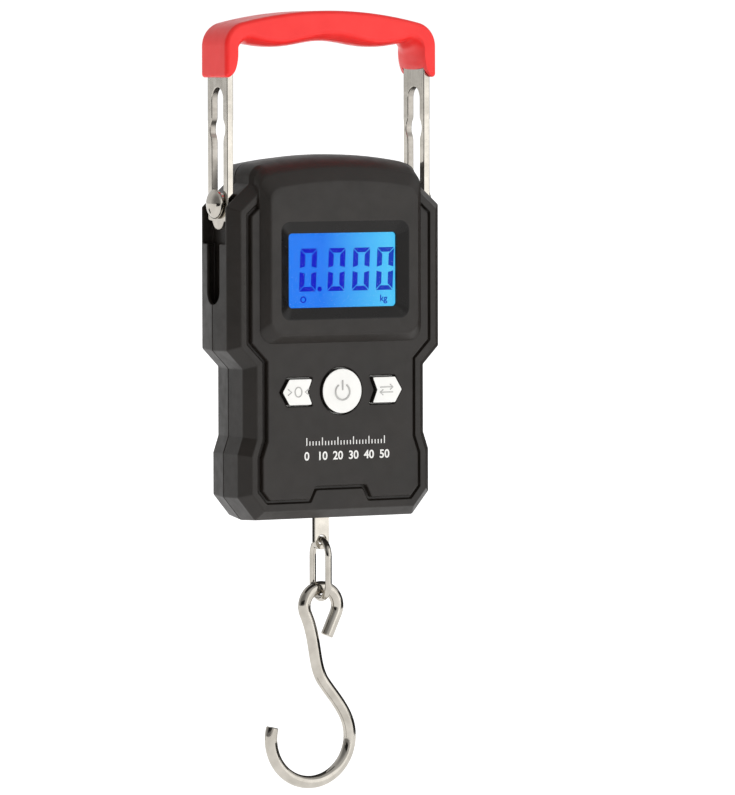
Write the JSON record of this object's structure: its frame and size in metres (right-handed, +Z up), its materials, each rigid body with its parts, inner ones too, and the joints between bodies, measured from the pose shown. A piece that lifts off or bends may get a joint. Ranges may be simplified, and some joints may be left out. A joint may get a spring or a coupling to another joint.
{
  "type": "digital fish scale",
  "caption": "Hand-held hanging digital scale: sliding strip-steel handle with moulded grip, waisted two-part case with display and buttons, chain link and wire hook.",
  "frame": {"origin": "middle of the grip's underside in the load plane, where a hand carries the scale", "axes": "+Z up along the load line, +Y from the display towards the back, +X towards the right button"},
  "size_m": [0.0778, 0.0293, 0.2426],
  "materials": {
    "case_plastic": "fine satin texture",
    "grip_plastic": "glossy moulded red",
    "button_plastic": "silver-white satin",
    "nickel_steel": "bright nickel plate",
    "plain_steel": "zinc plated",
    "cell_aluminium": "machined",
    "clear_lens": "clear acrylic",
    "display_blue": "lit blue liquid-crystal display",
    "white_plastic": "satin",
    "board_green": "solder mask over glass fibre",
    "black_plastic": "moulded",
    "red_wire": "wire insulation",
    "silicone_white": "soft silicone",
    "cell_wrap": "printed film, plain"
  },
  "bodies": {
    "handle": {"handle_bracket": "nickel_steel", "handle_grip": "grip_plastic"},
    "case": {"front_cover": "case_plastic", "rear_cover": "case_plastic", "display_window": "clear_lens", "display_glass": "display_blue", "backlight_plate": "white_plastic", "connector_strip": "silicone_white", "display_frame": "white_plastic", "circuit_board": "board_green", "controller_chip": "black_plastic", "switch_power": "black_plastic", "switch_left": "black_plastic", "switch_right": "black_plastic", "shoulder_screw_left": "nickel_steel", "shoulder_screw_right": "nickel_steel", "load_yoke": "plain_steel", "load_cell": "cell_aluminium", "yoke_bolt": "plain_steel", "strap_pin": "plain_steel", "hook_strap": "nickel_steel", "gauge_sealant": "silicone_white", "battery_left": "cell_wrap", "battery_right": "cell_wrap", "contact_top_left": "nickel_steel", "contact_top_right": "nickel_steel", "contact_bottom_left": "nickel_steel", "contact_bottom_right": "nickel_steel", "battery_spring_left": "nickel_steel", "battery_spring_right": "nickel_steel", "sensor_cable": "silicone_white", "battery_lead_left": "red_wire", "battery_lead_right": "black_plastic", "case_screw_1": "plain_steel", "case_screw_2": "plain_steel", "case_screw_3": "plain_steel", "case_screw_4": "plain_steel", "board_screw_1": "plain_steel", "board_screw_2": "plain_steel", "board_screw_3": "plain_steel", "board_screw_4": "plain_steel"},
    "power_key": {"power_button": "button_plastic"},
    "left_key": {"left_button": "button_plastic"},
    "right_key": {"right_button": "button_plastic"},
    "battery_door": {"battery_cover": "case_plastic"},
    "link": {"chain_link": "nickel_steel"},
    "hook": {"hook": "nickel_steel"}
  },
  "joints": [
    {"name": "handle_slide", "type": "slide", "parent": "handle", "child": "case", "axis": [0, 0, 1], "range_m": [0, 0.031]},
    {"name": "power_press", "type": "slide", "parent": "case", "child": "power_key", "axis": [0, 1, 0], "range_m": [0, 0.0005], "stiffness_N_per_m": 600},
    {"name": "left_press", "type": "slide", "parent": "case", "child": "left_key", "axis": [0, 1, 0], "range_m": [0, 0.0005], "stiffness_N_per_m": 600},
    {"name": "right_press", "type": "slide", "parent": "case", "child": "right_key", "axis": [0, 1, 0], "range_m": [0, 0.0005], "stiffness_N_per_m": 600},
    {"name": "battery_cover_lift", "type": "slide", "parent": "case", "child": "battery_door", "axis": [0, 1, 0], "range_m": [0, 0.02]},
    {"name": "link_swing", "type": "hinge", "parent": "case", "child": "link", "pos_m": [0, 0, -0.1555], "axis": [0, 1, 0], "range_deg": [-70, 70]},
    {"name": "hook_swing", "type": "hinge", "parent": "link", "child": "hook", "pos_m": [0, 0, -0.1705], "axis": [1, 0, 0], "range_deg": [-60, 60]}
  ]
}
